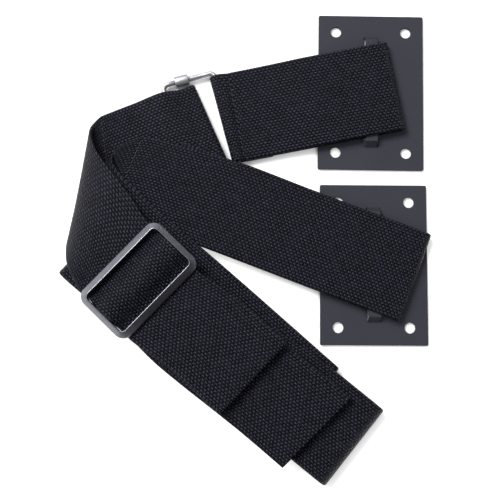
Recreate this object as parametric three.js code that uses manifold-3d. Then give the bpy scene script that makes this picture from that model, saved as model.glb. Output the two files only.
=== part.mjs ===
// Furniture anti tip strap, lying folded on a flat surface. Lengths are in millimetres, +Z is up, +Y is away.
// Two steel wall plates are held by 50 mm webbing: a short strap on the upper plate, and a long strap on the
// lower plate that ends on a slide adjuster. A wire link with a screw nut joins the short strap to the
// adjusting strap, which runs through the adjuster.
import * as THREE from 'three';
import { mergeVertices } from 'three/addons/utils/BufferGeometryUtils.js';
import Module from 'manifold-3d';

const wasm = await Module();
wasm.setup();

// Webbing
const webbingWidth = 51;
const webbingThickness = 1.6;
const sewnGap = 0.4;          // air between two layers that are sewn together
const springGap = 1.8;        // more air between the loose layers of the folded bundle
const touchGap = 0.3;         // clearance between a strap and the metal that it touches

// Wall plates
const plateWidth = 60;
const plateLength = 90;
const plateThickness = 2;
const plateCorner = 0.8;
const screwHole = 6;
const screwSpacingX = 40;
const screwSpacingY = 70.5;
const bridgeWidth = 7;
const bridgeRamp = 3;
const bridgeClearance = 3.8;  // room left beside the webbing at each end of the bridge
const upperPlateAt = [69, 90.4];
const upperPlateTurn = -0.9;
const lowerPlateAt = [69.2, -8.4];
const lowerPlateTurn = -0.4;

// Slide adjuster
const adjusterAt = [-59.4, -18.4];
const adjusterTurn = 46;      // direction of its bars
const adjusterSideClearance = 0.5;
const adjusterSideBar = 3.4;
const adjusterOuterBar = 4;
const adjusterCentreBar = 4;
const adjusterSlot = 11.75;
const adjusterHeight = 4.2;
const adjusterRim = 1.6;      // height of the frame at its outer edge
const centreBarHeight = 1.8;
const adjusterCorner = 6;

// Link
const linkWire = 3;
const linkPitch = 30.3;       // distance between the axes of its two long bars
const linkCorner = 3;
const linkLead = 1.5;         // straight wire on both sides of each bend
const nutSideClearance = 4;   // from the straps' edge to the axis of the short side with the nut
const plainSideClearance = 6;
const linkTurn = -75;         // direction of the long bars
const leftBarAt = [-42.2, 65.2];
const shortStrapShift = 1.4;  // along the right bar, clear of the long strap
const nutDiameter = 6.4;
const nutLength = 8;
const nutFromCentre = -3.9;   // centre of the closed nut along the short side
const nutClearance = 0.35;
const linkGap = 3;
const seamThread = 0.7;

// Levels of a strap's middle surface above the surface that everything lies on
const layer = webbingThickness + sewnGap;
const sewn = (n) => webbingThickness / 2 + n * layer;
const loose = (n) => webbingThickness / 2 + n * (layer + springGap);
const metalToWebbing = touchGap + webbingThickness / 2;
const linkAxis = webbingThickness + touchGap + linkWire / 2;
const linkLoop = linkWire / 2 + metalToWebbing;
const bridgeUnderside = plateThickness + webbingThickness + 2 * touchGap + 0.2;
const underBridge = plateThickness + metalToWebbing;
const overBridge = bridgeUnderside + plateThickness + metalToWebbing;
const tailLevel = loose(5);
const adjusterBase = tailLevel + metalToWebbing;

const rad = THREE.MathUtils.degToRad;
const heading = (degrees) => new THREE.Vector2(Math.cos(rad(degrees)), Math.sin(rad(degrees)));

const finish = (colour, roughness, metalness) =>
  new THREE.MeshStandardMaterial({ color: colour, roughness, metalness });
const webbingFinish = finish(0x1e1f27, 0.9, 0);
const threadFinish = finish(0x1a1a20, 0.8, 0);
const plateFinish = finish(0x3e3d48, 0.6, 0.3);
const adjusterFinish = finish(0x1f1f26, 0.35, 0.5);
const chrome = finish(0xbcbec4, 0.2, 1);

function toSolid(geometry) {
  const bare = geometry.clone();
  bare.deleteAttribute('normal');
  bare.deleteAttribute('uv');
  const merged = mergeVertices(bare, 1e-4);
  return new wasm.Manifold(new wasm.Mesh({
    numProp: 3,
    vertProperties: new Float32Array(merged.attributes.position.array),
    triVerts: new Uint32Array(merged.index.array),
  }));
}

function toGeometry(solid) {
  const mesh = solid.getMesh();
  const geometry = new THREE.BufferGeometry();
  geometry.setAttribute('position', new THREE.BufferAttribute(mesh.vertProperties, 3));
  geometry.setIndex(new THREE.BufferAttribute(mesh.triVerts, 1));
  return geometry;
}

// A station is where the strap's middle line passes, [x, y, z], the direction from one selvage to the
// other in degrees, how far an oblique section is stretched, and how far it climbs over one width.
const station = (x, y, z, across, stretch = 1, rise = 0) => ({ x, y, z, across, stretch, rise });

// The stations of a fold over a line through (x, y): half a turn from one level to the other, with a short
// flat run before and after it
function fold(x, y, fromLevel, toLevel, outward, across, run = 5) {
  const radius = Math.abs(fromLevel - toLevel) / 2;
  const middle = (fromLevel + toLevel) / 2;
  const out = heading(outward);
  const stations = [station(x - out.x * run, y - out.y * run, fromLevel, across)];
  for (let turn = 0; turn <= 180; turn += 30) {
    const reach = radius * Math.sin(rad(turn));
    const z = middle + Math.sign(fromLevel - toLevel) * radius * Math.cos(rad(turn));
    stations.push(station(x + out.x * reach, y + out.y * reach, z, across));
  }
  stations.push(station(x - out.x * run, y - out.y * run, toLevel, across));
  return stations;
}

// One strap: its surface through the stations, and the solid of its thickness
function layWebbing(stations, sectionLength = 6) {
  const selvages = [-1, 1].map((side) => new THREE.CatmullRomCurve3(stations.map((s) => {
    const across = heading(s.across).multiplyScalar((side * s.stretch * webbingWidth) / 2);
    return new THREE.Vector3(s.x + across.x, s.y + across.y, s.z + (side * s.rise * webbingWidth) / 2);
  }), false, 'centripetal'));
  const last = stations.length - 1;
  const surface = (at, across) => {
    const t = THREE.MathUtils.clamp(at / last, 0, 1);
    return selvages[0].getPoint(t).lerp(selvages[1].getPoint(t), across + 0.5);
  };
  const normal = (at, across) => {
    const step = 0.04;
    const along = surface(Math.min(at + step, last), across).sub(surface(Math.max(at - step, 0), across));
    const over = surface(at, 0.5).sub(surface(at, -0.5));
    return along.cross(over).normalize();
  };

  const sections = [0];
  for (let i = 0; i < last; i += 1) {
    const length = surface(i, 0).distanceTo(surface(i + 1, 0));
    const parts = Math.max(1, Math.round(length / sectionLength));
    for (let part = 1; part <= parts; part += 1) sections.push(i + part / parts);
  }
  const count = sections.length - 1;
  const geometry = new THREE.BoxGeometry(1, 1, 1, count, 4, 1);
  const points = geometry.attributes.position;
  for (let i = 0; i < points.count; i += 1) {
    const at = sections[Math.round((points.getX(i) + 0.5) * count)];
    const across = points.getY(i);
    const point = surface(at, across);
    point.addScaledVector(normal(at, across), points.getZ(i) * webbingThickness);
    points.setXYZ(i, point.x, point.y, point.z);
  }
  return { geometry, surface, normal, stations };
}

// The thread of one seam, lying across a strap at a station, on the face that is up there (1) or down (-1)
function sewSeam(strap, seamStation, face) {
  const at = strap.stations.indexOf(seamStation);
  const lift = webbingThickness / 2 + touchGap + seamThread / 2;
  const route = [];
  for (let across = -0.44; across <= 0.441; across += 0.08) {
    route.push(strap.surface(at, across).addScaledVector(strap.normal(at, across), face * lift));
  }
  const section = new THREE.Shape();
  section.absarc(0, 0, seamThread / 2, 0, 2 * Math.PI, false);
  return new THREE.ExtrudeGeometry(section, {
    steps: 12, curveSegments: 3, extrudePath: new THREE.CatmullRomCurve3(route),
  });
}

function roundedRectangle(width, length, corner) {
  const shape = new THREE.Shape();
  const x = width / 2 - corner;
  const y = length / 2 - corner;
  shape.absarc(x, y, corner, 0, Math.PI / 2, false);
  shape.absarc(-x, y, corner, Math.PI / 2, Math.PI, false);
  shape.absarc(-x, -y, corner, Math.PI, 1.5 * Math.PI, false);
  shape.absarc(x, -y, corner, 1.5 * Math.PI, 2 * Math.PI, false);
  shape.closePath();
  return shape;
}

// Wall plate: a stamped sheet with four screw holes. A strip is cut free on both sides and pressed up into a
// bridge, so the plate is open under it.
function makePlate() {
  const outline = roundedRectangle(plateWidth, plateLength, plateCorner);
  for (const x of [-screwSpacingX / 2, screwSpacingX / 2]) {
    for (const y of [-screwSpacingY / 2, screwSpacingY / 2]) {
      const hole = new THREE.Path();
      hole.absarc(x, y, screwHole / 2, 0, 2 * Math.PI, true);
      outline.holes.push(hole);
    }
  }
  const sheet = new THREE.ExtrudeGeometry(outline, {
    depth: plateThickness, bevelEnabled: false, curveSegments: 8,
  });
  const halfSpan = webbingWidth / 2 + bridgeClearance;
  const foot = halfSpan + bridgeRamp;
  const window = new THREE.BoxGeometry(bridgeWidth, 2 * foot, 3 * plateThickness);
  const profile = new THREE.Shape([
    new THREE.Vector2(-foot, 0),
    new THREE.Vector2(-halfSpan, bridgeUnderside),
    new THREE.Vector2(halfSpan, bridgeUnderside),
    new THREE.Vector2(foot, 0),
    new THREE.Vector2(foot + plateThickness, 0),
    new THREE.Vector2(foot + plateThickness, plateThickness),
    new THREE.Vector2(foot, plateThickness),
    new THREE.Vector2(halfSpan, bridgeUnderside + plateThickness),
    new THREE.Vector2(-halfSpan, bridgeUnderside + plateThickness),
    new THREE.Vector2(-foot, plateThickness),
    new THREE.Vector2(-foot - plateThickness, plateThickness),
    new THREE.Vector2(-foot - plateThickness, 0),
  ]);
  const strip = new THREE.ExtrudeGeometry(profile, { depth: bridgeWidth, bevelEnabled: false });
  strip.translate(0, 0, -bridgeWidth / 2);
  strip.rotateX(Math.PI / 2);
  strip.rotateZ(Math.PI / 2);
  return toGeometry(toSolid(sheet).subtract(toSolid(window)).add(toSolid(strip)));
}

// Slide adjuster: a cast frame with a centre bar. Its inner edge stands up as a ridge and its outer side
// slopes down.
function makeAdjuster() {
  const openingAlong = webbingWidth + 2 * adjusterSideClearance;
  const openingAcross = 2 * adjusterSlot + adjusterCentreBar;
  const outerAlong = openingAlong + 2 * adjusterSideBar;
  const outerAcross = openingAcross + 2 * adjusterOuterBar;
  const wall = Math.min(adjusterSideBar, adjusterOuterBar);
  const slope = adjusterHeight - adjusterRim;
  const bevel = wall * 0.6;
  const outer = roundedRectangle(outerAlong - 2 * bevel, outerAcross - 2 * bevel, adjusterCorner - bevel);
  const crown = new THREE.ExtrudeGeometry(outer, {
    depth: adjusterRim, bevelSize: bevel, bevelThickness: slope, bevelSegments: 2, curveSegments: 6,
  });
  const below = new THREE.BoxGeometry(outerAlong + wall, outerAcross + wall, slope);
  below.translate(0, 0, -slope / 2);
  const opening = new THREE.ExtrudeGeometry(
    roundedRectangle(openingAlong, openingAcross, adjusterCorner - wall),
    { depth: 3 * adjusterHeight, bevelEnabled: false, curveSegments: 6 },
  );
  opening.translate(0, 0, -adjusterHeight);
  const bar = new THREE.BoxGeometry(openingAlong + wall, adjusterCentreBar, centreBarHeight);
  bar.translate(0, 0, centreBarHeight / 2);
  const frame = toSolid(crown).subtract(toSolid(below)).subtract(toSolid(opening));
  return toGeometry(frame.add(toSolid(bar)));
}

// Link: round wire bent into a rectangle, open at one short side where the nut closes it. The long bars run
// along local Y and the wire's axis lies in the local XY plane.
const nutSide = webbingWidth / 2 + nutSideClearance;
const plainSide = webbingWidth / 2 + plainSideClearance;

function makeLinkBody() {
  const x = linkPitch / 2;
  const corners = [[-x, nutSide, 90], [-x, -plainSide, 180], [x, -plainSide, 270], [x, nutSide, 0]];
  const route = [new THREE.Vector3(nutFromCentre - linkGap / 2, nutSide, 0)];
  for (const [cornerX, cornerY, start] of corners) {
    const centreX = cornerX - Math.sign(cornerX) * linkCorner;
    const centreY = cornerY - Math.sign(cornerY) * linkCorner;
    const onBend = (turn, run = 0) => {
      const out = heading(start + turn);
      return new THREE.Vector3(
        centreX + linkCorner * out.x - run * out.y, centreY + linkCorner * out.y + run * out.x, 0,
      );
    };
    route.push(onBend(0, -linkLead));
    for (let turn = 0; turn <= 90; turn += 22.5) route.push(onBend(turn));
    route.push(onBend(90, linkLead));
  }
  route.push(new THREE.Vector3(nutFromCentre + linkGap / 2, nutSide, 0));
  const section = new THREE.Shape();
  section.absarc(0, 0, linkWire / 2, 0, 2 * Math.PI, false);
  return new THREE.ExtrudeGeometry(section, {
    steps: 84, curveSegments: 5, extrudePath: new THREE.CatmullRomCurve3(route, false, 'centripetal'),
  });
}

function makeLinkNut() {
  const bore = linkWire / 2 + nutClearance;
  const outer = nutDiameter / 2;
  const chamfer = 0.5;
  const half = nutLength / 2;
  const profile = [
    [bore, -half], [outer - chamfer, -half], [outer, -half + chamfer],
    [outer, half - chamfer], [outer - chamfer, half], [bore, half], [bore, -half],
  ].map(([r, h]) => new THREE.Vector2(r, h));
  const nut = new THREE.LatheGeometry(profile, 24);
  nut.rotateZ(Math.PI / 2);
  nut.translate(nutFromCentre, nutSide, 0);
  return nut;
}

const model = new THREE.Group();

function addPiece(parent, name, geometry, material) {
  const mesh = new THREE.Mesh(geometry, material);
  mesh.name = name;
  parent.add(mesh);
  return mesh;
}

// Wall plates
for (const [name, at, turn] of [
  ['plate_upper', upperPlateAt, upperPlateTurn],
  ['plate_lower', lowerPlateAt, lowerPlateTurn],
]) {
  const plate = addPiece(model, name, makePlate(), plateFinish);
  plate.position.set(at[0], at[1], 0);
  plate.rotation.z = rad(turn);
}

// Link, lying flat with its wire inside the two strap loops
const barAcross = heading(linkTurn + 90);
const barAlong = heading(linkTurn);
const link = new THREE.Group();
link.position.set(
  leftBarAt[0] + (barAcross.x * linkPitch) / 2, leftBarAt[1] + (barAcross.y * linkPitch) / 2, linkAxis,
);
link.rotation.z = rad(linkTurn + 90);
addPiece(link, 'link_body', makeLinkBody(), chrome);
addPiece(link, 'link_nut', makeLinkNut(), chrome);
model.add(link);

// Slide adjuster
const adjuster = addPiece(model, 'slide_adjuster', makeAdjuster(), adjusterFinish);
adjuster.position.set(adjusterAt[0], adjusterAt[1], adjusterBase);
adjuster.rotation.z = rad(adjusterTurn);

// Short strap: from its sewn end round the link's right bar, over the upper plate's bridge, down and back
// under the bridge, and in between its own layers at the seam
const shortAcross = 281;
const shortOut = heading(shortAcross + 90);
const shortBar = [
  leftBarAt[0] + barAcross.x * linkPitch - barAlong.x * shortStrapShift,
  leftBarAt[1] + barAcross.y * linkPitch - barAlong.y * shortStrapShift,
];
const shortAlong = (distance, level) => station(
  shortBar[0] + shortOut.x * distance, shortBar[1] + shortOut.y * distance, level, shortAcross,
);
const barTurn = linkTurn + 360;
const shortReach = 95.2;
const upperPlateEdge = 49.7;
const shortSeam = shortAlong(5.6, sewn(2) + 0.2);
const shortStrap = layWebbing([
  shortAlong(22, sewn(0)),
  shortAlong(9, sewn(0)),
  ...fold(shortBar[0], shortBar[1], linkAxis - linkLoop, linkAxis + linkLoop, barTurn - 90, barTurn, 1.5),
  shortSeam,
  shortAlong(26, sewn(2) + 0.6),
  shortAlong(upperPlateEdge, overBridge - 0.4),
  shortAlong(71, overBridge),
  ...fold(
    shortBar[0] + shortOut.x * shortReach, shortBar[1] + shortOut.y * shortReach,
    overBridge, underBridge, shortAcross + 90, shortAcross,
  ),
  shortAlong(71, underBridge),
  shortAlong(upperPlateEdge, underBridge),
  shortAlong(24, sewn(1) + 0.1),
  shortAlong(4.2, sewn(1)),
]);
addPiece(model, 'strap_short', shortStrap.geometry, webbingFinish);
addPiece(model, 'seam_short', sewSeam(shortStrap, shortSeam, -1), threadFinish);

// Adjusting strap: from its sewn end to the right, round in a loose loop over the link's left bar, back to
// the left, over in an open roll, through the adjuster and on to its free tail
const ringAcross = 293.5;
const ringOut = heading(ringAcross + 90);
const ringShift = 3.4;        // down along the left bar, clear of the nut
const ringSide = heading(ringAcross);
const ringMiddle = [leftBarAt[0] + ringSide.x * ringShift, leftBarAt[1] + ringSide.y * ringShift];
const ringAlong = (distance, level) => station(
  ringMiddle[0] + ringOut.x * distance, ringMiddle[1] + ringOut.y * distance, level, ringAcross,
);
const ringReach = 17.9;
const ringTop = linkAxis + linkLoop + 0.2;
const slideOut = heading(adjusterTurn - 90);
const slideAcross = adjusterTurn + 180;
const slideAlong = (distance, level) => station(
  adjusterAt[0] + slideOut.x * distance, adjusterAt[1] + slideOut.y * distance, level, slideAcross,
);
const barEdge = adjusterCentreBar / 2;
const frameInside = barEdge + adjusterSlot;
const frameOutside = frameInside + adjusterOuterBar;
const overCentreBar = adjusterBase + centreBarHeight + metalToWebbing;
const rollLevel = (share) => THREE.MathUtils.lerp(sewn(1), tailLevel, share);
const ringSeam = station(-81.0, 49.0, rollLevel(0.01), 278, 1.05, -0.008);
const adjustStrap = layWebbing([
  ringAlong(-37, sewn(0)),
  ringAlong(-20, sewn(0)),
  ...fold(
    ringMiddle[0] + ringOut.x * ringReach, ringMiddle[1] + ringOut.y * ringReach,
    sewn(0), linkAxis + linkLoop, ringAcross + 90, ringAcross,
  ),
  station(-41.5, 64, ringTop, 289, 1.03),
  station(-56.0, 58.8, rollLevel(0.05), 291, 1.03),
  station(-69.5, 53.6, rollLevel(0), 286, 1.04),
  ringSeam,
  station(-90.1, 43.5, rollLevel(0.1), 266, 1.1, -0.02),
  station(-93.8, 38.0, rollLevel(0.335), 261, 1.13, -0.02),
  station(-93.3, 29.1, rollLevel(0.57), 256, 1.11, -0.02),
  station(-90.2, 20.7, rollLevel(0.76), 251, 1.12, -0.006),
  station(-85.8, 13.4, rollLevel(0.89), 245, 1.1, 0.004),
  station(-79.5, 4.3, rollLevel(0.975), 236, 1.05, 0.004),
  slideAlong(-frameOutside - 2, tailLevel),
  slideAlong(-frameInside + 0.8, tailLevel),
  slideAlong(-8.6, overCentreBar + layer - 3.4),
  slideAlong(-5, overCentreBar + layer - 0.8),
  slideAlong(-barEdge, overCentreBar + layer),
  slideAlong(barEdge, overCentreBar + layer),
  slideAlong(6, overCentreBar + layer - 1.9),
  slideAlong(frameInside - 1.4, tailLevel),
  slideAlong(frameOutside + 2, tailLevel),
  station(-27, -45.2, tailLevel, 227),
  station(1.7, -70.6, tailLevel + 1.2, 226.5),
]);
addPiece(model, 'strap_adjust', adjustStrap.geometry, webbingFinish);
addPiece(model, 'seam_adjust', sewSeam(adjustStrap, ringSeam, 1), threadFinish);

// Long strap: from its free sewn end up to the adjuster, round the centre bar, down to the end of the bundle
// and twice to and fro under itself, then up under the adjusting strap, over in a loose fold, across to the
// lower plate, over its bridge, down and back under the bridge and itself to its sewn end
const bundleEnd = [51.5, -104.3];
const innerLeft = [-87.2, 4.1];
const innerRight = [30, -83.5];
const platePast = [89.2, -15.2];
const bandAcross = 249.4;
const bandOut = heading(bandAcross + 90);
const bandAlong = (distance, level) => station(
  platePast[0] - bandOut.x * distance, platePast[1] - bandOut.y * distance, level, bandAcross,
);
const bandLower = ringTop + layer + 0.2;
const bandUpper = bandLower + layer;
const bandTop = bandUpper + layer + 0.4;
const adjusterSeam = slideAlong(22, loose(4));
const bandSeam = station(-69.0, 40.0, bandUpper - 1.2, 248, 0.94);
const longStrap = layWebbing([
  station(35.5, -99.3, loose(4) + 0.6, 224.5),
  station(12, -79.5, loose(4), 228.5),
  slideAlong(38, loose(4)),
  adjusterSeam,
  slideAlong(frameInside - 0.5, tailLevel - layer - 0.4),
  slideAlong(8, overCentreBar - 3.6),
  slideAlong(barEdge + 0.6, overCentreBar - 0.2),
  ...fold(
    adjusterAt[0] - slideOut.x * barEdge, adjusterAt[1] - slideOut.y * barEdge,
    overCentreBar, adjusterBase - metalToWebbing, adjusterTurn + 90, slideAcross, barEdge,
  ),
  slideAlong(barEdge, adjusterBase - metalToWebbing - 0.2),
  slideAlong(8, tailLevel - 2.8),
  slideAlong(frameInside - 0.5, tailLevel - 4.6),
  slideAlong(22, loose(4) - layer),
  slideAlong(40, loose(3)),
  station(12, -73.4, loose(3), 229.5),
  ...fold(bundleEnd[0], bundleEnd[1], loose(3), loose(0), -39, 231),
  station(12, -73.5, loose(0), 230),
  station(-50, -26, loose(0), 229.5),
  ...fold(innerLeft[0], innerLeft[1], loose(0), loose(1), 137, 227),
  station(-50, -26, loose(1), 229),
  ...fold(innerRight[0], innerRight[1], loose(1), loose(2), -41, 229),
  station(10, -65.8, loose(2), 229),
  station(-22, -37.6, loose(2) + 0.8, 228.5),
  station(-44, -18.8, bandUpper + 1.3, 228, 1, -0.03),
  station(-57, -7.2, bandUpper + 1.6, 227, 0.99, -0.03),
  station(-68.3, 2.9, bandTop - 0.4, 226, 0.98, -0.02),
  station(-77.8, 13.9, bandTop - 0.1, 233, 0.94, -0.012),
  station(-83.5, 21.1, bandTop + 0.3, 241, 0.91, -0.008),
  station(-86.0, 27.2, bandTop, 244, 0.89, -0.004),
  station(-84.7, 33.3, bandTop - 1.5, 245, 0.89),
  station(-79.3, 38.1, bandUpper - 0.8, 245, 0.92),
  bandSeam,
  station(-42.1, 32.6, bandUpper, 248.5, 0.96),
  bandAlong(108, bandUpper),
  bandAlong(70, overBridge + 1.2),
  bandAlong(30, overBridge),
  ...fold(platePast[0], platePast[1], overBridge, underBridge, bandAcross + 90, bandAcross),
  bandAlong(30, underBridge),
  bandAlong(56, underBridge + 0.6),
  bandAlong(82, underBridge + 3.2),
  bandAlong(108, bandLower - 0.1),
  bandAlong(145, bandLower - 0.1),
]);
addPiece(model, 'strap_long', longStrap.geometry, webbingFinish);
addPiece(model, 'seam_long_adjuster', sewSeam(longStrap, adjusterSeam, 1), threadFinish);
addPiece(model, 'seam_long_plate', sewSeam(longStrap, bandSeam, -1), threadFinish);

// The origin is under the middle of the whole strap, on the surface that it lies on
model.updateMatrixWorld(true);
const extent = new THREE.Box3().setFromObject(model, true);
const centre = extent.getCenter(new THREE.Vector3());
model.position.set(-centre.x, -centre.y, -extent.min.z);

export default model;
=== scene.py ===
# Furniture anti tip strap: black webbing, two wall plates, a slide adjuster and a wire link, lying folded on
# a white table and seen from above. Sizes in the sections are in millimetres, and meshes are in metres.
import math

import bmesh
import bpy
from mathutils import Matrix, Vector, noise


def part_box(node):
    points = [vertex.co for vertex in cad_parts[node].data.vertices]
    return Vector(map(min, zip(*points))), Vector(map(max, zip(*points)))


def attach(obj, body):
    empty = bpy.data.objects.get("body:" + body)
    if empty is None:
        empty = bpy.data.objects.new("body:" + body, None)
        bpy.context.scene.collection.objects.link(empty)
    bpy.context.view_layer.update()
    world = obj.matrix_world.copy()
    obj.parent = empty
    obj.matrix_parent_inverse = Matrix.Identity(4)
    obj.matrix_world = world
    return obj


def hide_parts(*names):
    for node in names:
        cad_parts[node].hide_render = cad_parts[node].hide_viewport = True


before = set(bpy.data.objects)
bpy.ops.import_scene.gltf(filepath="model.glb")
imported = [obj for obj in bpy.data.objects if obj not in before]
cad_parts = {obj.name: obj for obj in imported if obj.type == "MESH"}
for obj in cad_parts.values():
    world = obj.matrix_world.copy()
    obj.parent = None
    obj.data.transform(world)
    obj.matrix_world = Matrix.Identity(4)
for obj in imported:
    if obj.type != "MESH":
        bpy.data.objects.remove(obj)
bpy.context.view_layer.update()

# ---- Camera ----------------------------------------------------------------------------------------------
# It looks almost straight down at the folded strap, from a little nearer than its middle.
MM = 0.001
low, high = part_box("plate_upper")
UPPER_PLATE_AT = Vector((69, 90.4, 0))
view_centre = Vector(((low.x + high.x) / 2, (low.y + high.y) / 2, 0)) - UPPER_PLATE_AT * MM
camera = bpy.data.objects.new("camera", bpy.data.cameras.new("camera"))
bpy.context.scene.collection.objects.link(camera)
bpy.context.scene.camera = camera
camera.data.lens = 58.5
camera.data.sensor_width = 36
camera.location = view_centre + Vector((0, -46, 455)) * MM
camera.rotation_euler = (view_centre - camera.location).to_track_quat("-Z", "Y").to_euler()

# ---- Table and light -------------------------------------------------------------------------------------
# A white table top under soft light from the upper left. What the camera sees of the table is lifted to
# white, and the lift fades close beside and under the strap, which paints shade there; the strap's own
# shadow stays on it.


def feed(material, value, socket):
    """Links a node's output to the socket, or sets the socket to a plain value."""
    if isinstance(value, bpy.types.NodeSocket):
        material.node_tree.links.new(value, socket)
    else:
        socket.default_value = value


def add_node(material, kind, output=0, settings=None, **inputs):
    """Adds one shader node and returns one of its outputs."""
    made = material.node_tree.nodes.new(kind)
    for name, value in (settings or {}).items():
        setattr(made, name, value)
    for name, value in inputs.items():
        feed(material, value, made.inputs[name.replace("_", " ")])
    return made.outputs[output]


def maths(material, operation, *terms):
    made = material.node_tree.nodes.new("ShaderNodeMath")
    made.operation = operation
    for socket, term in zip(made.inputs, terms):
        feed(material, term, socket)
    return made.outputs[0]


def seen_directly(material):
    """1 for rays that show the surroundings themselves: from the camera, in a mirror or through glass."""
    path = material.node_tree.nodes.new("ShaderNodeLightPath")
    seen = maths(material, "MAXIMUM", path.outputs["Is Camera Ray"], path.outputs["Is Glossy Ray"])
    return maths(material, "MAXIMUM", seen, path.outputs["Is Transmission Ray"])


def new_material(name, colour, roughness, metallic=0.0, specular=0.5):
    material = bpy.data.materials.new(name)
    material.use_nodes = True
    shader = material.node_tree.nodes["Principled BSDF"]
    shader.inputs["Base Color"].default_value = (*colour, 1)
    shader.inputs["Roughness"].default_value = roughness
    shader.inputs["Metallic"].default_value = metallic
    shader.inputs["Specular IOR Level"].default_value = specular
    return material, shader


def add_piece(shape, name, material, smooth=True):
    """Makes an object of a bmesh whose coordinates are in metres."""
    for face in shape.faces:
        face.smooth = smooth
    mesh = bpy.data.meshes.new(name)
    shape.to_mesh(mesh)
    shape.free()
    mesh.materials.append(material)
    piece = bpy.data.objects.new(name, mesh)
    bpy.context.scene.collection.objects.link(piece)
    return piece


TABLE_LIFT = 0.6
PAINTED_SHADE_REACH = 8
table_white, shader = new_material("table_white", (0.86, 0.86, 0.86), 0.9, specular=0.0)
# Ambient occlusion dims the lift near the strap and plates: painted contact shade on the table, also in the
# slits beside the bridges.
painted_shade_openness = add_node(table_white, "ShaderNodeAmbientOcclusion", output=1, settings={"samples": 12},
                    Distance=PAINTED_SHADE_REACH * MM)
lift = maths(table_white, "MULTIPLY", seen_directly(table_white), TABLE_LIFT)
lift = maths(table_white, "MULTIPLY", lift, maths(table_white, "POWER", painted_shade_openness, 2))
shader.inputs["Emission Color"].default_value = (1, 1, 1, 1)
feed(table_white, lift, shader.inputs["Emission Strength"])
shape = bmesh.new()
bmesh.ops.create_grid(shape, x_segments=1, y_segments=1, size=3)
table = add_piece(shape, "table", table_white)

world = bpy.data.worlds.new("studio")
world.use_nodes = True
bpy.context.scene.world = world
background = world.node_tree.nodes["Background"]
background.inputs["Color"].default_value = (1, 1, 1, 1)
AMBIENT = 0.36
sky = world.node_tree.nodes.new("ShaderNodeTexCoord").outputs["Generated"]
towards_key = world.node_tree.nodes.new("ShaderNodeVectorMath")
towards_key.operation = "DOT_PRODUCT"
towards_key.inputs[1].default_value = (-0.5, 0.45, 0.74)
feed(world, sky, towards_key.inputs[0])
mirrored = maths(world, "SUBTRACT", maths(world, "MULTIPLY", towards_key.outputs["Value"], 1.7), 0.62)
mirrored = maths(world, "MINIMUM", maths(world, "MAXIMUM", mirrored, 0.04), 1.0)
path = world.node_tree.nodes.new("ShaderNodeLightPath")
level = AMBIENT
for ray, strength in (("Is Glossy Ray", mirrored), ("Is Transmission Ray", 1.0), ("Is Camera Ray", 1.0)):
    seen = path.outputs[ray]
    level = maths(world, "ADD", maths(world, "MULTIPLY", strength, seen),
                  maths(world, "MULTIPLY", level, maths(world, "SUBTRACT", 1, seen)))
feed(world, level, background.inputs["Strength"])

for name, place, width, power, in_reflections in [
    ("key", (-0.55, 0.55, 1.0), 0.6, 20, True),
    ("fill", (0.5, -0.7, 0.9), 0.9, 5, False),
]:
    lamp = bpy.data.lights.new(name, "AREA")
    lamp.shape = "SQUARE"
    lamp.size = width
    lamp.energy = power
    source = bpy.data.objects.new(name, lamp)
    source.location = place
    source.visible_glossy = in_reflections
    source.rotation_euler = (-Vector(place)).to_track_quat("-Z", "Y").to_euler()
    bpy.context.scene.collection.objects.link(source)

bpy.context.scene.view_settings.view_transform = "Standard"

# ---- Webbing ---------------------------------------------------------------------------------------------
# Black polypropylene webbing, 51 mm wide and 1.6 mm thick, in a close coarse weave. Its picks stand up as
# small pills in staggered rows, and they make the selvages slightly toothed.
WEBBING_WIDTH = 51
WEBBING_THICKNESS = 1.6
PICK_LENGTH = 2.3
PICK_WIDTH = 1.6
TOOTH = 0.3
FACE_STEPS = 26
EDGE_STEPS = 4
SEAM_PINCH = 0.7
SEAM_WIDTH = 1.1
WAVE_HEIGHT = 0.09
WAVE_LENGTH = 9
SEWN_GAP = 0.4
SPRING_GAP = 1.8
TOUCH_GAP = 0.3
LAYER = WEBBING_THICKNESS + SEWN_GAP
METAL_TO_WEBBING = TOUCH_GAP + WEBBING_THICKNESS / 2


def sewn(layers):
    return WEBBING_THICKNESS / 2 + layers * LAYER


def loose(layers):
    return WEBBING_THICKNESS / 2 + layers * (LAYER + SPRING_GAP)


def heading(degrees):
    return Vector((math.cos(math.radians(degrees)), math.sin(math.radians(degrees)), 0))


def station(x, y, z, across, stretch=1, rise=0):
    """Where the strap passes: the points of its two selvages, either side of (x, y, z)."""
    side = heading(across) * stretch + Vector((0, 0, rise))
    return [Vector((x, y, z)) + side * way * WEBBING_WIDTH / 2 for way in (-1, 1)]


def fold(x, y, from_level, to_level, outward, across, run=5):
    """The stations of half a turn over a line through (x, y), with a short flat run before and after it."""
    radius = abs(from_level - to_level) / 2
    middle = (from_level + to_level) / 2
    down = 1 if from_level > to_level else -1
    out = heading(outward)
    start = Vector((x, y, 0)) - out * run
    stations = [station(start.x, start.y, from_level, across)]
    for turn in range(0, 181, 30):
        place = Vector((x, y, 0)) + out * radius * math.sin(math.radians(turn))
        level = middle + down * radius * math.cos(math.radians(turn))
        stations.append(station(place.x, place.y, level, across))
    stations.append(station(start.x, start.y, to_level, across))
    return stations


def curve_point(points, at):
    """A point of the smooth curve through the points, at a whole or part number of them from the first."""
    first = min(int(at), len(points) - 2)
    share = at - first
    b, c = points[first], points[first + 1]
    a = points[first - 1] if first > 0 else 2 * b - c
    d = points[first + 2] if first + 2 < len(points) else 2 * c - b
    before, here, after = ((q - p).length ** 0.5 for p, q in ((a, b), (b, c), (c, d)))
    leave = ((b - a) / before - (c - a) / (before + here) + (c - b) / here) * here
    arrive = ((c - b) / here - (d - b) / (here + after) + (d - c) / after) * here
    bend = -3 * b + 3 * c - 2 * leave - arrive
    turn = 2 * b - 2 * c + leave + arrive
    return b + leave * share + bend * share**2 + turn * share**3


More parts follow.
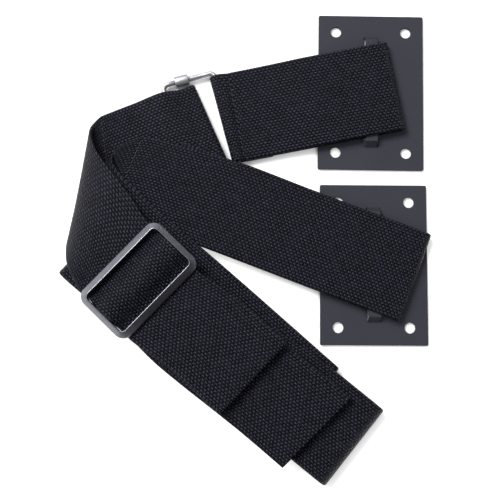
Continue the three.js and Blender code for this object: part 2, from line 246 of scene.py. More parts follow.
class Route:
    """The way of a strap through its stations, with the distances along it."""

    def __init__(self, stations):
        self.stations = stations
        self.selvages = list(zip(*stations))
        last = len(stations) - 1
        self.ats = [i / 24 for i in range(24 * last + 1)]
        self.distances = [0.0]
        middles = [self.middle(at) for at in self.ats]
        for p, q in zip(middles, middles[1:]):
            self.distances.append(self.distances[-1] + (q - p).length)
        self.length = self.distances[-1]
        self.teeth = round(self.length / PICK_LENGTH * 2)

    def selvage_points(self, at):
        return [curve_point(points, at) for points in self.selvages]

    def middle(self, at):
        one, other = self.selvage_points(at)
        return (one + other) / 2

    def at_distance(self, distance):
        nearest = next(i for i, d in enumerate(self.distances) if d >= min(distance, self.length))
        if nearest == 0:
            return self.ats[0]
        d0, d1 = self.distances[nearest - 1:nearest + 1]
        share = (distance - d0) / (d1 - d0)
        return self.ats[nearest - 1] + share * (self.ats[nearest] - self.ats[nearest - 1])

    def distance_of(self, one_station):
        return self.distances[24 * self.stations.index(one_station)]

    def surface(self, distance):
        """The selvages at a distance, and the strap's direction at each of them."""
        step = 0.8
        ahead = self.selvage_points(self.at_distance(min(distance + step, self.length)))
        behind = self.selvage_points(self.at_distance(max(distance - step, 0)))
        return self.selvage_points(self.at_distance(distance)), [p - q for p, q in zip(ahead, behind)]

    def point(self, distance, across, lift):
        """A point on the strap: across from -0.5 to 0.5 of its width, and lift off its middle surface."""
        selvages, directions = self.surface(distance)
        along = directions[0].lerp(directions[1], across + 0.5)
        over = selvages[1] - selvages[0]
        normal = along.cross(over).normalized()
        return selvages[0].lerp(selvages[1], across + 0.5) + normal * lift, normal, over.normalized()


FLAT_HALF = (WEBBING_WIDTH - WEBBING_THICKNESS) / 2
AROUND_STEPS = 2 * (FACE_STEPS + EDGE_STEPS)


def section_point(step):
    """How far across and up the outline of the webbing's section is after some steps, and the way to it."""
    half = WEBBING_THICKNESS / 2
    side, way = 1, 0
    if step > AROUND_STEPS / 2:
        side, step, way = -1, step - AROUND_STEPS // 2, 2 * FLAT_HALF + math.pi * half
    if step <= FACE_STEPS:
        across = -FLAT_HALF + 2 * FLAT_HALF * step / FACE_STEPS
        return side * across, side * half, way + across + FLAT_HALF
    turn = math.pi * (step - FACE_STEPS) / EDGE_STEPS
    return (
        side * (FLAT_HALF + half * math.sin(turn)), side * half * math.cos(turn),
        way + 2 * FLAT_HALF + turn * half,
    )


def weave_strap(name, stations, seams, material):
    """One strap as a closed mesh: a grid rolled round the section and laid along the route."""
    route = Route(stations)
    shape = bmesh.new()
    uv = shape.loops.layers.uv.new("UVMap")
    bmesh.ops.create_grid(
        shape, x_segments=route.teeth, y_segments=AROUND_STEPS, size=1, calc_uvs=True,
    )
    for face in shape.faces:
        for corner in face.loops:
            along, around = corner[uv].uv
            way = section_point(round(around * AROUND_STEPS))[2]
            corner[uv].uv = (way * MM, along * route.length * MM)
    rows = {}
    for vertex in shape.verts:
        row = round((vertex.co.x + 1) / 2 * route.teeth)
        rows.setdefault(row, []).append((vertex, round((vertex.co.y + 1) / 2 * AROUND_STEPS)))
    for row, vertices in rows.items():
        distance = route.length * row / route.teeth
        selvages, directions = route.surface(distance)
        over = selvages[1] - selvages[0]
        offsets = [(distance - route.distance_of(seam)) / SEAM_WIDTH for seam in seams]
        pinch = sum(SEAM_PINCH * math.exp(-(offset**2)) for offset in offsets)
        for vertex, step in vertices:
            across, up, _ = section_point(step)
            if abs(across) > FLAT_HALF:
                across += math.copysign(TOOTH if row % 2 else -TOOTH, across)
            share = across / WEBBING_WIDTH + 0.5
            normal = directions[0].lerp(directions[1], share).cross(over).normalized()
            place = selvages[0].lerp(selvages[1], share)
            wave = WAVE_HEIGHT * noise.noise(place / WAVE_LENGTH)
            place += normal * (up - math.copysign(pinch, up) + wave)
            place.z = max(place.z, 0)
            vertex.co = place * MM + view_centre
    rim = [v for v in shape.verts if v.is_boundary]
    bmesh.ops.remove_doubles(shape, verts=rim, dist=2e-6)
    bmesh.ops.holes_fill(shape, edges=[e for e in shape.edges if e.is_boundary], sides=0)
    bmesh.ops.recalc_face_normals(shape, faces=shape.faces)
    return add_piece(shape, name, material), route


webbing, shader = new_material("webbing", (0.008, 0.008, 0.013), 0.45, specular=0.19)
place = add_node(webbing, "ShaderNodeUVMap")
split = webbing.node_tree.nodes.new("ShaderNodeSeparateXYZ")
feed(webbing, place, split.inputs[0])
column = maths(webbing, "DIVIDE", split.outputs["X"], PICK_WIDTH * MM)
odd = maths(webbing, "MODULO", maths(webbing, "FLOOR", column), 2)
row = maths(webbing, "ADD", maths(webbing, "DIVIDE", split.outputs["Y"], PICK_LENGTH * MM),
            maths(webbing, "MULTIPLY", odd, 0.5))


def hump(count, sharpness):
    """0 at the edges of each pick and 1 at its middle."""
    from_middle = maths(webbing, "ABSOLUTE", maths(
        webbing, "SUBTRACT", maths(webbing, "MULTIPLY", maths(webbing, "FRACT", count), 2), 1))
    return maths(webbing, "SUBTRACT", 1, maths(webbing, "POWER", from_middle, sharpness))


pick = maths(webbing, "MULTIPLY", hump(column, 2.2), hump(row, 2.6))
cell = webbing.node_tree.nodes.new("ShaderNodeCombineXYZ")
feed(webbing, maths(webbing, "FLOOR", column), cell.inputs["X"])
feed(webbing, maths(webbing, "FLOOR", row), cell.inputs["Y"])
tone = add_node(webbing, "ShaderNodeTexWhiteNoise", settings={"noise_dimensions": "2D"},
                Vector=cell.outputs[0])
body_coordinates = webbing.node_tree.nodes.new("ShaderNodeTexCoord").outputs["Object"]
fibres = add_node(webbing, "ShaderNodeTexNoise", Vector=body_coordinates, Scale=2600.0, Detail=2.0)
wear = add_node(webbing, "ShaderNodeTexNoise", Vector=body_coordinates, Scale=60.0, Detail=3.0)
# The base colour is darker in the gaps between the picks and lighter on their tops: painted shade and
# painted highlight beside the bump. A tone per pick and a wear cloud vary it at random.
painted_pick_shade_and_tone = maths(webbing, "MULTIPLY", maths(webbing, "ADD", 0.06, maths(webbing, "POWER", pick, 1.8)),
              maths(webbing, "ADD", 0.6, maths(webbing, "MULTIPLY", tone, 0.8)))
painted_pick_shade_and_tone = maths(webbing, "MULTIPLY", painted_pick_shade_and_tone, maths(webbing, "ADD", 0.7, maths(webbing, "MULTIPLY", wear, 0.6)))
yarn = webbing.node_tree.nodes.new("ShaderNodeVectorMath")
yarn.operation = "SCALE"
yarn.inputs[0].default_value = (0.0122, 0.0126, 0.0255)
feed(webbing, painted_pick_shade_and_tone, yarn.inputs["Scale"])
feed(webbing, yarn.outputs[0], shader.inputs["Base Color"])
relief = maths(webbing, "ADD", pick, maths(webbing, "MULTIPLY", fibres, 0.25))
bump = add_node(webbing, "ShaderNodeBump", Height=relief, Strength=1.0, Distance=0.0005)
feed(webbing, bump, shader.inputs["Normal"])

# ---- Wall plates -----------------------------------------------------------------------------------------
# Two stamped 2 mm steel plates, 60 x 90 mm with 6 mm screw holes, powder coated in matt dark grey. A strip
# between two cuts is pressed up into a bridge for the webbing. All edges are slightly rounded by the coat.
PLATE_SIZE = (60, 90)
PLATE_THICKNESS = 2
PLATE_CORNER = 0.8
SCREW_HOLE = 6
SCREW_SPACING = (40, 70.5)
BRIDGE_WIDTH = 7
BRIDGE_RAMP = 3
BRIDGE_CLEARANCE = 3.8
BRIDGE_UNDERSIDE = PLATE_THICKNESS + WEBBING_THICKNESS + 2 * TOUCH_GAP + 0.2
UNDER_BRIDGE = PLATE_THICKNESS + METAL_TO_WEBBING
OVER_BRIDGE = BRIDGE_UNDERSIDE + PLATE_THICKNESS + METAL_TO_WEBBING
COAT_EDGE = 0.3
HALF_SPAN = WEBBING_WIDTH / 2 + BRIDGE_CLEARANCE
BRIDGE_FOOT = HALF_SPAN + BRIDGE_RAMP

coat, shader = new_material("powder_coat", (0.045, 0.043, 0.06), 0.62, specular=0.2)
coat_place = coat.node_tree.nodes.new("ShaderNodeTexCoord").outputs["Object"]
grain = add_node(coat, "ShaderNodeTexNoise", Vector=coat_place, Scale=1500.0, Detail=2.0)
cloud = add_node(coat, "ShaderNodeTexNoise", Vector=coat_place, Scale=35.0, Detail=4.0)
ramp = coat.node_tree.nodes.new("ShaderNodeValToRGB")
ramp.color_ramp.elements[0].position = 0.3
ramp.color_ramp.elements[0].color = (0.023, 0.023, 0.032, 1)
ramp.color_ramp.elements[1].position = 0.7
ramp.color_ramp.elements[1].color = (0.034, 0.034, 0.047, 1)
feed(coat, maths(coat, "ADD", maths(coat, "MULTIPLY", grain, 0.55), maths(coat, "MULTIPLY", cloud, 0.45)),
     ramp.inputs[0])
feed(coat, ramp.outputs[0], shader.inputs["Base Color"])
feed(coat, maths(coat, "ADD", 0.5, maths(coat, "MULTIPLY", cloud, 0.25)), shader.inputs["Roughness"])
feed(coat, add_node(coat, "ShaderNodeBump", Height=grain, Strength=0.35, Distance=0.0001),
     shader.inputs["Normal"])


def rounded_ring(width, length, corner, steps):
    """The points of a rounded rectangle, or of a circle where both sides are twice the corner."""
    points = []
    for quarter, (x, y) in enumerate([(1, 1), (-1, 1), (-1, -1), (1, -1)]):
        middle = Vector((x * (width / 2 - corner), y * (length / 2 - corner), 0))
        points += [middle + corner * heading(90 * (quarter + i / steps)) for i in range(steps + 1)]
    return points


def stamped_sheet(rings):
    """A flat sheet with rounded edges, cut by the first ring and pierced by the others."""
    outline = bpy.data.curves.new("outline", "CURVE")
    outline.dimensions = "2D"
    outline.fill_mode = "BOTH"
    outline.extrude = (PLATE_THICKNESS / 2 - COAT_EDGE) * MM
    outline.bevel_depth = COAT_EDGE * MM
    outline.bevel_resolution = 2
    outline.offset = -COAT_EDGE * MM
    for points in rings:
        spline = outline.splines.new("POLY")
        spline.points.add(len(points) - 1)
        for target, point in zip(spline.points, points):
            target.co = (*(point * MM), 1)
        spline.use_cyclic_u = True
    flat_curve = bpy.data.objects.new("outline", outline)
    sheet = bmesh.new()
    sheet.from_mesh(flat_curve.to_mesh())
    flat_curve.to_mesh_clear()
    bpy.data.objects.remove(flat_curve)
    bpy.data.curves.remove(outline)
    bmesh.ops.remove_doubles(sheet, verts=sheet.verts, dist=1e-6)
    bmesh.ops.translate(sheet, verts=sheet.verts, vec=(0, 0, PLATE_THICKNESS / 2 * MM))
    return sheet


def press_bridge(shape):
    """Adds the bridge: a strip that climbs from the sheet, crosses over the webbing and comes down again."""
    ends = [-BRIDGE_FOOT - 0.6, -BRIDGE_FOOT, -HALF_SPAN, HALF_SPAN, BRIDGE_FOOT, BRIDGE_FOOT + 0.6]
    heights = [0, 0, BRIDGE_UNDERSIDE, BRIDGE_UNDERSIDE, 0, 0]
    made = bmesh.ops.create_grid(shape, x_segments=1, y_segments=5, size=1)["verts"]
    for vertex in made:
        i = round((vertex.co.y + 1) / 2 * 5)
        vertex.co = Vector((vertex.co.x * BRIDGE_WIDTH / 2, ends[i], heights[i])) * MM
    strip = list({f for v in made for f in v.link_faces})
    bmesh.ops.solidify(shape, geom=strip, thickness=-PLATE_THICKNESS * MM)
    grown = set(made)
    while True:
        near = {e.other_vert(v) for v in grown for e in v.link_edges}
        if near <= grown:
            break
        grown |= near
    bmesh.ops.recalc_face_normals(shape, faces=list({f for v in grown for f in v.link_faces}))
    sharp = [e for e in {e for v in grown for e in v.link_edges}
             if e.is_manifold and e.calc_face_angle() > math.radians(20)]
    bmesh.ops.bevel(shape, geom=sharp, offset=COAT_EDGE * MM, offset_type="OFFSET", segments=2,
                    profile=0.5, affect="EDGES", material=-1, clamp_overlap=True)


for name, place, turn, body in [
    ("plate_upper", UPPER_PLATE_AT, -0.9, "short_strap"),
    ("plate_lower", Vector((69.2, -8.4, 0)), -0.4, "straps"),
]:
    holes = [
        [p + Vector((x * SCREW_SPACING[0] / 2, y * SCREW_SPACING[1] / 2, 0))
         for p in rounded_ring(SCREW_HOLE, SCREW_HOLE, SCREW_HOLE / 2, 12)[::-1]]
        for x in (-1, 1) for y in (-1, 1)
    ]
    window = rounded_ring(BRIDGE_WIDTH + 0.8, 2 * BRIDGE_FOOT, 0.6, 3)[::-1]
    outline = rounded_ring(*PLATE_SIZE, PLATE_CORNER, 8)
    shape = stamped_sheet([outline, *holes, window])
    press_bridge(shape)
    shape.transform(
        Matrix.Translation(place * MM + view_centre) @ Matrix.Rotation(math.radians(turn), 4, "Z"))
    plate = add_piece(shape, name + "_coated", coat, smooth=False)
    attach(plate, body)
    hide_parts(name)

# ---- Link ------------------------------------------------------------------------------------------------
# Bright plated 3 mm wire bent into a rectangle. One end has a fine thread for a round nut, which closes the
# gap in the short side.
LINK_WIRE = 3
LINK_PITCH = 30.3
LINK_CORNER = 3
NUT_SIDE = WEBBING_WIDTH / 2 + 4
PLAIN_SIDE = WEBBING_WIDTH / 2 + 6
LINK_TURN = -75
LEFT_BAR_AT = Vector((-42.2, 65.2, 0))
NUT_DIAMETER = 6.4
NUT_LENGTH = 8
NUT_FROM_CENTRE = -3.9
LINK_GAP = 3
THREAD_PITCH = 0.7
LINK_AXIS = WEBBING_THICKNESS + TOUCH_GAP + LINK_WIRE / 2
LINK_LOOP = LINK_WIRE / 2 + METAL_TO_WEBBING
bar_across = heading(LINK_TURN + 90)
bar_along = heading(LINK_TURN)
link_centre = LEFT_BAR_AT + bar_across * LINK_PITCH / 2 + Vector((0, 0, LINK_AXIS))
link_place = Matrix.Translation(link_centre * MM + view_centre) @ Matrix.Rotation(
    math.radians(LINK_TURN + 90), 4, "Z")

chrome, shader = new_material("bright_plating", (0.42, 0.42, 0.45), 0.4, metallic=0.75)
chrome_place = chrome.node_tree.nodes.new("ShaderNodeTexCoord").outputs["Object"]
dulling = add_node(chrome, "ShaderNodeTexNoise", Vector=chrome_place, Scale=300.0, Detail=3.0)
feed(chrome, maths(chrome, "ADD", 0.32, maths(chrome, "MULTIPLY", dulling, 0.2)), shader.inputs["Roughness"])
feed(chrome, add_node(chrome, "ShaderNodeBump", Height=dulling, Strength=0.15, Distance=0.0001),
     shader.inputs["Normal"])


def lathe(shape, profile, start, steps=32):
    """Turns a profile of (along, radius) pairs round an axis through start that runs along X."""
    points = [shape.verts.new(start + Vector((along, radius, 0))) for along, radius in profile]
    edges = [shape.edges.new(pair) for pair in zip(points, points[1:])]
    bmesh.ops.spin(shape, geom=points + edges, cent=start, axis=(1, 0, 0), angle=2 * math.pi, steps=steps,
                   use_merge=True)


# The wire starts as a circle at the smooth end, and is run straight and bent round the four corners.
shape = bmesh.new()
half_gap = LINK_GAP / 2
start_x = NUT_FROM_CENTRE - half_gap
circle = bmesh.ops.create_circle(shape, segments=24, radius=LINK_WIRE / 2, cap_ends=True)["verts"]
bmesh.ops.rotate(shape, verts=circle, cent=(0, 0, 0), matrix=Matrix.Rotation(math.radians(90), 3, "Y"))
bmesh.ops.translate(shape, verts=circle, vec=(start_x, NUT_SIDE, 0))
tip = list(shape.faces)
heading_now = Vector((-1, 0, 0))
left, right = -LINK_PITCH / 2, LINK_PITCH / 2
runs = [
    (start_x - left - LINK_CORNER), (NUT_SIDE + PLAIN_SIDE - 2 * LINK_CORNER),
    (LINK_PITCH - 2 * LINK_CORNER), (NUT_SIDE + PLAIN_SIDE - 2 * LINK_CORNER),
    (right - LINK_CORNER - (NUT_FROM_CENTRE + half_gap)),
]
for leg, run in enumerate(runs):
    grown = bmesh.ops.extrude_face_region(shape, geom=tip)["geom"]
    if leg:
        bmesh.ops.delete(shape, geom=tip, context="FACES_KEEP_BOUNDARY")
    tip = [g for g in grown if isinstance(g, bmesh.types.BMFace)]
    bmesh.ops.translate(shape, verts=[v for f in tip for v in f.verts], vec=heading_now * run)
    if leg < len(runs) - 1:
        tip_middle = tip[0].calc_center_median()
        turn_middle = tip_middle + Vector((-heading_now.y, heading_now.x, 0)) * LINK_CORNER
        bent = bmesh.ops.spin(shape, geom=tip, cent=turn_middle, axis=(0, 0, 1), angle=math.pi / 2, steps=8)
        bmesh.ops.delete(shape, geom=tip, context="FACES_KEEP_BOUNDARY")
        tip = [g for g in bent["geom_last"] if isinstance(g, bmesh.types.BMFace)]
        heading_now = Vector((-heading_now.y, heading_now.x, 0))
bmesh.ops.recalc_face_normals(shape, faces=shape.faces)
THREAD_LENGTH = 11
thread_start = NUT_FROM_CENTRE + half_gap
turns = int(THREAD_LENGTH / THREAD_PITCH)
profile = [(0, LINK_WIRE / 2)]
for i in range(turns):
    profile += [
        ((i + 0.25) * THREAD_PITCH, LINK_WIRE / 2 + 0.2), ((i + 0.45) * THREAD_PITCH, LINK_WIRE / 2 + 0.2),
        ((i + 0.95) * THREAD_PITCH, LINK_WIRE / 2 - 0.15),
    ]
profile.append((turns * THREAD_PITCH, LINK_WIRE / 2 - 0.1))
lathe(shape, profile, Vector((thread_start, NUT_SIDE, 0)), steps=24)
bmesh.ops.scale(shape, verts=shape.verts, vec=(MM, MM, MM))
shape.transform(link_place)
bmesh.ops.recalc_face_normals(shape, faces=shape.faces)
link = add_piece(shape, "link_wire", chrome)
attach(link, "link")
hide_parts("link_body")

# The nut is turned from round bar, with chamfered ends and a straight knurl.
shape = bmesh.new()
half = NUT_LENGTH / 2
outer = NUT_DIAMETER / 2
bore = LINK_WIRE / 2 + 0.35
profile = [
    (-half, bore), (-half, outer - 0.5), (-half + 0.15, outer - 0.18), (-half + 0.5, outer),
    (half - 0.5, outer), (half - 0.15, outer - 0.18), (half, outer - 0.5), (half, bore), (-half, bore),
]
KNURL_STEPS = 48
KNURL_VALLEY = 0.94
nut_centre = Vector((NUT_FROM_CENTRE, NUT_SIDE, 0))
lathe(shape, profile, nut_centre, steps=KNURL_STEPS)
bmesh.ops.remove_doubles(shape, verts=shape.verts, dist=1e-4)
for vertex in shape.verts:
    out = vertex.co - nut_centre
    turn = round(math.atan2(out.z, out.y) / (2 * math.pi) * KNURL_STEPS)
    if math.hypot(out.y, out.z) > outer - 0.01 and turn % 2:
        vertex.co = nut_centre + Vector((out.x, out.y * KNURL_VALLEY, out.z * KNURL_VALLEY))
bmesh.ops.scale(shape, verts=shape.verts, vec=(MM, MM, MM))
shape.transform(link_place)
bmesh.ops.recalc_face_normals(shape, faces=shape.faces)
nut = add_piece(shape, "link_nut_turned", chrome)
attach(nut, "link_nut")
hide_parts("link_nut")

# ---- Slide adjuster --------------------------------------------------------------------------------------
# A cast frame with a centre bar, coated in satin black. Its inner edge stands up as a narrow ridge, and its
# outer side slopes down to a low rim.
ADJUSTER_AT = Vector((-59.4, -18.4, 0))
ADJUSTER_TURN = 46
SIDE_BAR = 3.4
OUTER_BAR = 4
CENTRE_BAR = 4
SLOT = 11.75
ADJUSTER_HEIGHT = 4.2
RIM = 1.6
CENTRE_BAR_HEIGHT = 1.8
ADJUSTER_CORNER = 6
SIDE_CLEARANCE = 0.5
BAR_ROOT = 1
TAIL_LEVEL = loose(5)
ADJUSTER_BASE = TAIL_LEVEL + METAL_TO_WEBBING

satin_coat, shader = new_material("satin_black", (0.19, 0.19, 0.22), 0.3, metallic=0.93)
satin_place = satin_coat.node_tree.nodes.new("ShaderNodeTexCoord").outputs["Object"]
orange_peel = add_node(satin_coat, "ShaderNodeTexNoise", Vector=satin_place, Scale=450.0, Detail=2.0)
feed(satin_coat, maths(satin_coat, "ADD", 0.24, maths(satin_coat, "MULTIPLY", orange_peel, 0.2)),
     shader.inputs["Roughness"])
feed(satin_coat, add_node(satin_coat, "ShaderNodeBump", Height=orange_peel, Strength=0.3, Distance=0.0001),
     shader.inputs["Normal"])

opening = (WEBBING_WIDTH + 2 * SIDE_CLEARANCE, 2 * SLOT + CENTRE_BAR)
outside = (opening[0] + 2 * SIDE_BAR, opening[1] + 2 * OUTER_BAR)
# Each ring of the frame's section: how far from the opening to the outside (0 to 1), and its height
frame_section = [
    (0.0, 0.0), (0.0, ADJUSTER_HEIGHT - 0.3), (0.02, ADJUSTER_HEIGHT - 0.1), (0.06, ADJUSTER_HEIGHT),
    (0.12, ADJUSTER_HEIGHT), (0.17, ADJUSTER_HEIGHT - 0.1), (0.22, ADJUSTER_HEIGHT - 0.3),
    (0.93, RIM + 0.25), (0.98, RIM), (1.0, RIM - 0.3), (1.0, 0.25), (0.94, 0.0),
]
CORNER_STEPS = 8
RING_POINTS = 4 * (CORNER_STEPS + 1)
rings = []
for share, height in frame_section:
    width, length = (i + share * (o - i) for i, o in zip(opening, outside))
    corner = ADJUSTER_CORNER - SIDE_BAR * (1 - share)
    ring = rounded_ring(width, length, corner, CORNER_STEPS)
    rings.append([point + Vector((0, 0, height)) for point in ring])
shape = bmesh.new()
bmesh.ops.create_grid(shape, x_segments=RING_POINTS, y_segments=len(rings), size=1)
for vertex in shape.verts:
    around = round((vertex.co.x + 1) / 2 * RING_POINTS) % RING_POINTS
    ring = round((vertex.co.y + 1) / 2 * len(rings)) % len(rings)
    vertex.co = rings[ring][around]
bmesh.ops.remove_doubles(shape, verts=shape.verts, dist=1e-4)
bmesh.ops.recalc_face_normals(shape, faces=shape.faces)
bar = bmesh.ops.create_cube(shape, size=1)["verts"]
bmesh.ops.scale(shape, verts=bar, vec=(opening[0] + 2 * BAR_ROOT, CENTRE_BAR, CENTRE_BAR_HEIGHT))
bmesh.ops.translate(shape, verts=bar, vec=(0, 0, CENTRE_BAR_HEIGHT / 2))
bar_edges = {e for v in bar for e in v.link_edges}
long_edges = [e for e in bar_edges if abs((e.verts[0].co - e.verts[1].co).x) > 1]
bmesh.ops.bevel(shape, geom=long_edges, offset=0.6, offset_type="OFFSET", segments=3, profile=0.5,
                affect="EDGES", material=-1)
bmesh.ops.scale(shape, verts=shape.verts, vec=(MM, MM, MM))
shape.transform(
    Matrix.Translation((ADJUSTER_AT + Vector((0, 0, ADJUSTER_BASE))) * MM + view_centre)
    @ Matrix.Rotation(math.radians(ADJUSTER_TURN), 4, "Z"))
adjuster = add_piece(shape, "slide_adjuster_cast", satin_coat)
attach(adjuster, "straps")
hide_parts("slide_adjuster")

# ---- Short strap -----------------------------------------------------------------------------------------
# A closed loop of webbing through the link's right bar and over and under the upper plate's bridge, sewn
# across near the link.
SHORT_STRAP_SHIFT = 1.4
SHORT_ACROSS = 281
SHORT_REACH = 95.2
UPPER_PLATE_EDGE = 49.7
short_out = heading(SHORT_ACROSS + 90)
short_bar = LEFT_BAR_AT + bar_across * LINK_PITCH - bar_along * SHORT_STRAP_SHIFT


def short_along(distance, level):
    return station(*(short_bar + short_out * distance).xy, level, SHORT_ACROSS)


bar_turn = LINK_TURN + 360
short_seam = short_along(5.6, sewn(2) + 0.2)
short_end = short_bar + short_out * SHORT_REACH
short_strap, short_route = weave_strap("strap_short_woven", [
    short_along(22, sewn(0)),
    short_along(9, sewn(0)),
    *fold(*short_bar.xy, LINK_AXIS - LINK_LOOP, LINK_AXIS + LINK_LOOP, bar_turn - 90, bar_turn, 1.5),
    short_seam,
    short_along(26, sewn(2) + 0.6),
    short_along(UPPER_PLATE_EDGE, OVER_BRIDGE - 0.4),
    short_along(71, OVER_BRIDGE),
    *fold(*short_end.xy, OVER_BRIDGE, UNDER_BRIDGE, SHORT_ACROSS + 90, SHORT_ACROSS),
    short_along(71, UNDER_BRIDGE),
    short_along(UPPER_PLATE_EDGE, UNDER_BRIDGE),
    short_along(24, sewn(1) + 0.1),
    short_along(4.2, sewn(1)),
], [short_seam], webbing)
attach(short_strap, "short_strap")
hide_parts("strap_short")

# Its seam is one row of long stitches in polyester thread, pulled down into the webbing.
STITCH_LENGTH = 2.6
STITCH_PITCH = 3.1
THREAD_WIDTH = 0.7
STITCH_DEPTH = 0.4
thread, shader = new_material("thread", (0.012, 0.012, 0.016), 0.5, specular=0.4)
thread_place = thread.node_tree.nodes.new("ShaderNodeTexCoord").outputs["Object"]
twist = add_node(thread, "ShaderNodeTexNoise", Vector=thread_place, Scale=1800.0, Detail=2.0)
feed(thread, add_node(thread, "ShaderNodeBump", Height=twist, Strength=0.6, Distance=0.0001),
     shader.inputs["Normal"])
feed(thread, maths(thread, "ADD", 0.4, maths(thread, "MULTIPLY", twist, 0.25)), shader.inputs["Roughness"])


def sew(name, route, seam, face, body, node):
    """A row of stitches across a strap, on the face that is up there (1) or down (-1)."""
    shape = bmesh.new()
    distance = route.distance_of(seam)
    count = int(0.92 * WEBBING_WIDTH / STITCH_PITCH)
    for i in range(count):
        across = (i - (count - 1) / 2) * STITCH_PITCH / WEBBING_WIDTH
        place, normal, over = route.point(distance, across, face * (WEBBING_THICKNESS / 2 - STITCH_DEPTH))
        turn = Matrix((over, normal.cross(over), normal)).transposed()
        stitch = bmesh.ops.create_uvsphere(shape, u_segments=8, v_segments=6, radius=1)["verts"]
        bmesh.ops.scale(shape, verts=stitch, vec=(STITCH_LENGTH / 2, THREAD_WIDTH / 2, THREAD_WIDTH / 2))
        bmesh.ops.transform(shape, verts=stitch, matrix=Matrix.Translation(place) @ turn.to_4x4())
    bmesh.ops.scale(shape, verts=shape.verts, vec=(MM, MM, MM))
    bmesh.ops.translate(shape, verts=shape.verts, vec=view_centre)
    row = add_piece(shape, name, thread)
    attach(row, body)
    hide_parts(node)
    return row


stitches = sew("stitches_short", short_route, short_seam, -1, "short_strap", "seam_short")

# ---- Adjusting strap -------------------------------------------------------------------------------------
# From its sewn end round a loose loop over the link's left bar, back over in an open roll, through the
# adjuster under, over and under its bars, and on to its free tail, which lifts a little.
RING_ACROSS = 293.5
RING_REACH = 17.9
RING_SHIFT = 3.4
RING_TOP = LINK_AXIS + LINK_LOOP + 0.2
ring_out = heading(RING_ACROSS + 90)
ring_middle = LEFT_BAR_AT + heading(RING_ACROSS) * RING_SHIFT
slide_out = heading(ADJUSTER_TURN - 90)
SLIDE_ACROSS = ADJUSTER_TURN + 180
BAR_EDGE = CENTRE_BAR / 2
FRAME_INSIDE = BAR_EDGE + SLOT
FRAME_OUTSIDE = FRAME_INSIDE + OUTER_BAR
OVER_CENTRE_BAR = ADJUSTER_BASE + CENTRE_BAR_HEIGHT + METAL_TO_WEBBING


def ring_along(distance, level):
    return station(*(ring_middle + ring_out * distance).xy, level, RING_ACROSS)


def slide_along(distance, level):
    return station(*(ADJUSTER_AT + slide_out * distance).xy, level, SLIDE_ACROSS)


def roll_level(share):
    return sewn(1) + share * (TAIL_LEVEL - sewn(1))


ring_seam = station(-81.0, 49.0, roll_level(0.01), 278, 1.05, -0.008)
ring_end = ring_middle + ring_out * RING_REACH
adjust_strap, adjust_route = weave_strap("strap_adjust_woven", [
    ring_along(-37, sewn(0)),
    ring_along(-20, sewn(0)),
    *fold(*ring_end.xy, sewn(0), LINK_AXIS + LINK_LOOP, RING_ACROSS + 90, RING_ACROSS),
    station(-41.5, 64, RING_TOP, 289, 1.03),
    station(-56.0, 58.8, roll_level(0.05), 291, 1.03),
    station(-69.5, 53.6, roll_level(0), 286, 1.04),
    ring_seam,
    station(-90.1, 43.5, roll_level(0.1), 266, 1.1, -0.02),
    station(-93.8, 38.0, roll_level(0.335), 261, 1.13, -0.02),
    station(-93.3, 29.1, roll_level(0.57), 256, 1.11, -0.02),
    station(-90.2, 20.7, roll_level(0.76), 251, 1.12, -0.006),
    station(-85.8, 13.4, roll_level(0.89), 245, 1.1, 0.004),
    station(-79.5, 4.3, roll_level(0.975), 236, 1.05, 0.004),
    slide_along(-FRAME_OUTSIDE - 2, TAIL_LEVEL),
    slide_along(-FRAME_INSIDE + 0.8, TAIL_LEVEL),
    slide_along(-8.6, OVER_CENTRE_BAR + LAYER - 3.4),
    slide_along(-5, OVER_CENTRE_BAR + LAYER - 0.8),
    slide_along(-BAR_EDGE, OVER_CENTRE_BAR + LAYER),
    slide_along(BAR_EDGE, OVER_CENTRE_BAR + LAYER),
    slide_along(6, OVER_CENTRE_BAR + LAYER - 1.9),
    slide_along(FRAME_INSIDE - 1.4, TAIL_LEVEL),
    slide_along(FRAME_OUTSIDE + 2, TAIL_LEVEL),
    station(-27, -45.2, TAIL_LEVEL, 227),
    station(1.7, -70.6, TAIL_LEVEL + 1.2, 226.5),
], [ring_seam], webbing)
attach(adjust_strap, "straps")
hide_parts("strap_adjust")
stitches = sew("stitches_adjust", adjust_route, ring_seam, 1, "straps", "seam_adjust")

# ---- Long strap ------------------------------------------------------------------------------------------
# From its free end up round the adjuster's centre bar, down to the end of the bundle and twice to and fro
# under itself, over in a loose fold, across to the lower plate, round its bridge and back to its sewn end.
BUNDLE_END = (51.5, -104.3)
INNER_LEFT = (-87.2, 4.1)
INNER_RIGHT = (30, -83.5)
PLATE_PAST = Vector((89.2, -15.2, 0))
BAND_ACROSS = 249.4
BAND_LOWER = RING_TOP + LAYER + 0.2
BAND_UPPER = BAND_LOWER + LAYER
BAND_TOP = BAND_UPPER + LAYER + 0.4
band_out = heading(BAND_ACROSS + 90)
bar_start = ADJUSTER_AT - slide_out * BAR_EDGE


def band_along(distance, level):
    return station(*(PLATE_PAST - band_out * distance).xy, level, BAND_ACROSS)


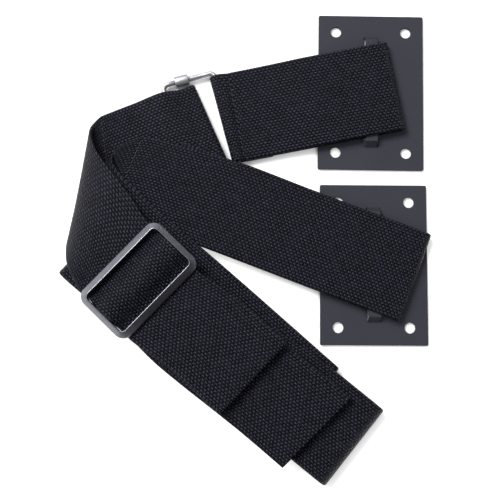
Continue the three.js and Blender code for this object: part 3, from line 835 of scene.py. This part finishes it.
adjuster_seam = slide_along(22, loose(4))
band_seam = station(-69.0, 40.0, BAND_UPPER - 1.2, 248, 0.94)
long_strap, long_route = weave_strap("strap_long_woven", [
    station(35.5, -99.3, loose(4) + 0.6, 224.5),
    station(12, -79.5, loose(4), 228.5),
    slide_along(38, loose(4)),
    adjuster_seam,
    slide_along(FRAME_INSIDE - 0.5, TAIL_LEVEL - LAYER - 0.4),
    slide_along(8, OVER_CENTRE_BAR - 3.6),
    slide_along(BAR_EDGE + 0.6, OVER_CENTRE_BAR - 0.2),
    *fold(*bar_start.xy, OVER_CENTRE_BAR, ADJUSTER_BASE - METAL_TO_WEBBING, ADJUSTER_TURN + 90,
          SLIDE_ACROSS, BAR_EDGE),
    slide_along(BAR_EDGE, ADJUSTER_BASE - METAL_TO_WEBBING - 0.2),
    slide_along(8, TAIL_LEVEL - 2.8),
    slide_along(FRAME_INSIDE - 0.5, TAIL_LEVEL - 4.6),
    slide_along(22, loose(4) - LAYER),
    slide_along(40, loose(3)),
    station(12, -73.4, loose(3), 229.5),
    *fold(*BUNDLE_END, loose(3), loose(0), -39, 231),
    station(12, -73.5, loose(0), 230),
    station(-50, -26, loose(0), 229.5),
    *fold(*INNER_LEFT, loose(0), loose(1), 137, 227),
    station(-50, -26, loose(1), 229),
    *fold(*INNER_RIGHT, loose(1), loose(2), -41, 229),
    station(10, -65.8, loose(2), 229),
    station(-22, -37.6, loose(2) + 0.8, 228.5),
    station(-44, -18.8, BAND_UPPER + 1.3, 228, 1, -0.03),
    station(-57, -7.2, BAND_UPPER + 1.6, 227, 0.99, -0.03),
    station(-68.3, 2.9, BAND_TOP - 0.4, 226, 0.98, -0.02),
    station(-77.8, 13.9, BAND_TOP - 0.1, 233, 0.94, -0.012),
    station(-83.5, 21.1, BAND_TOP + 0.3, 241, 0.91, -0.008),
    station(-86.0, 27.2, BAND_TOP, 244, 0.89, -0.004),
    station(-84.7, 33.3, BAND_TOP - 1.5, 245, 0.89),
    station(-79.3, 38.1, BAND_UPPER - 0.8, 245, 0.92),
    band_seam,
    station(-42.1, 32.6, BAND_UPPER, 248.5, 0.96),
    band_along(108, BAND_UPPER),
    band_along(70, OVER_BRIDGE + 1.2),
    band_along(30, OVER_BRIDGE),
    *fold(*PLATE_PAST.xy, OVER_BRIDGE, UNDER_BRIDGE, BAND_ACROSS + 90, BAND_ACROSS),
    band_along(30, UNDER_BRIDGE),
    band_along(56, UNDER_BRIDGE + 0.6),
    band_along(82, UNDER_BRIDGE + 3.2),
    band_along(108, BAND_LOWER - 0.1),
    band_along(145, BAND_LOWER - 0.1),
], [adjuster_seam, band_seam], webbing)
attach(long_strap, "straps")
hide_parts("strap_long")
rows_on_long = [
    sew("stitches_adjuster_end", long_route, adjuster_seam, 1, "straps", "seam_long_adjuster"),
    sew("stitches_plate_end", long_route, band_seam, -1, "straps", "seam_long_plate"),
]
